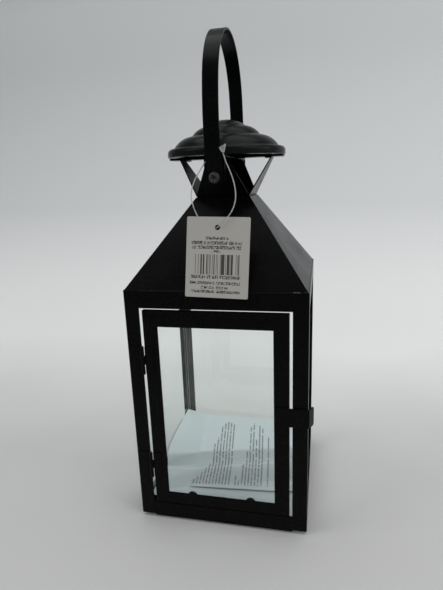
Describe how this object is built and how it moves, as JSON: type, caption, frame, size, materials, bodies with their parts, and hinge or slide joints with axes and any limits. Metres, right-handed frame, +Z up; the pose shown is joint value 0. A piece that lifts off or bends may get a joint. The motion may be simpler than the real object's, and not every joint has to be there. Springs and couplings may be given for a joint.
{
  "type": "candle lantern",
  "caption": "Square black sheet-metal candle lantern with a glazed hinged door, spring latch, pyramid roof, tiered round cap, arched band handle and a card tag on a loop.",
  "frame": {"origin": "centre of the tray's flat underside, on the surface the lantern stands on", "axes": "+Z up, -Y out of the door, +X to the right as one faces the door"},
  "size_m": [0.1235, 0.1224, 0.3354],
  "materials": {
    "black_paint": "satin black paint",
    "handle_paint": "satin black paint",
    "cap_paint": "semi-gloss black paint",
    "clear_glass": "clear float glass",
    "hinge_pin": "satin black paint",
    "tag_card": null,
    "nylon": "clear white nylon",
    "paper": "thin white paper with grey rule lines"
  },
  "bodies": {
    "lantern_body": {"front_left_post": "black_paint", "front_right_post": "black_paint", "rear_right_post": "black_paint", "rear_left_post": "black_paint", "front_header": "black_paint", "right_header": "black_paint", "rear_header": "black_paint", "left_header": "black_paint", "front_sill": "black_paint", "right_sill": "black_paint", "rear_sill": "black_paint", "left_sill": "black_paint", "base_tray": "black_paint", "right_glass": "clear_glass", "rear_glass": "clear_glass", "left_glass": "clear_glass", "right_glass_clips": "black_paint", "rear_glass_clips": "black_paint", "left_glass_clips": "black_paint", "front_roof_panel": "black_paint", "right_roof_panel": "black_paint", "rear_roof_panel": "black_paint", "left_roof_panel": "black_paint", "front_neck_leg": "black_paint", "right_neck_leg": "black_paint", "rear_neck_leg": "black_paint", "left_neck_leg": "black_paint", "cap_bracket": "black_paint", "cap": "cap_paint", "handle_rivets": "handle_paint", "upper_hinge_post_leaf": "black_paint", "lower_hinge_post_leaf": "black_paint", "upper_hinge_pin": "hinge_pin", "lower_hinge_pin": "hinge_pin", "paper_leaflet": "paper", "tag_loop": "nylon", "tag_loop_head": "nylon"},
    "door": {"door_frame": "black_paint", "door_glass": "clear_glass", "door_glass_clips": "black_paint", "upper_hinge_door_leaf": "black_paint", "lower_hinge_door_leaf": "black_paint", "latch_strap": "black_paint"},
    "handle": {"handle": "handle_paint"},
    "tag": {"hang_tag": "tag_card"}
  },
  "joints": [
    {"name": "door_hinge", "type": "hinge", "parent": "lantern_body", "child": "door", "pos_m": [-0.0494, -0.0612, 0.0848], "axis": [0, 0, -1], "range_deg": [0, 180]},
    {"name": "handle_swing", "type": "hinge", "parent": "lantern_body", "child": "handle", "pos_m": [0, 0, 0.2414], "axis": [0, 1, 0], "range_deg": [-128, 128], "deforming": ["tag_loop", "tag_loop_head"]},
    {"name": "tag_swing", "type": "hinge", "parent": "lantern_body", "child": "tag", "pos_m": [0.0035, -0.05298, 0.21163], "axis": [-1, 0, 0], "range_deg": [0, 75], "deforming": ["tag_loop"]}
  ]
}
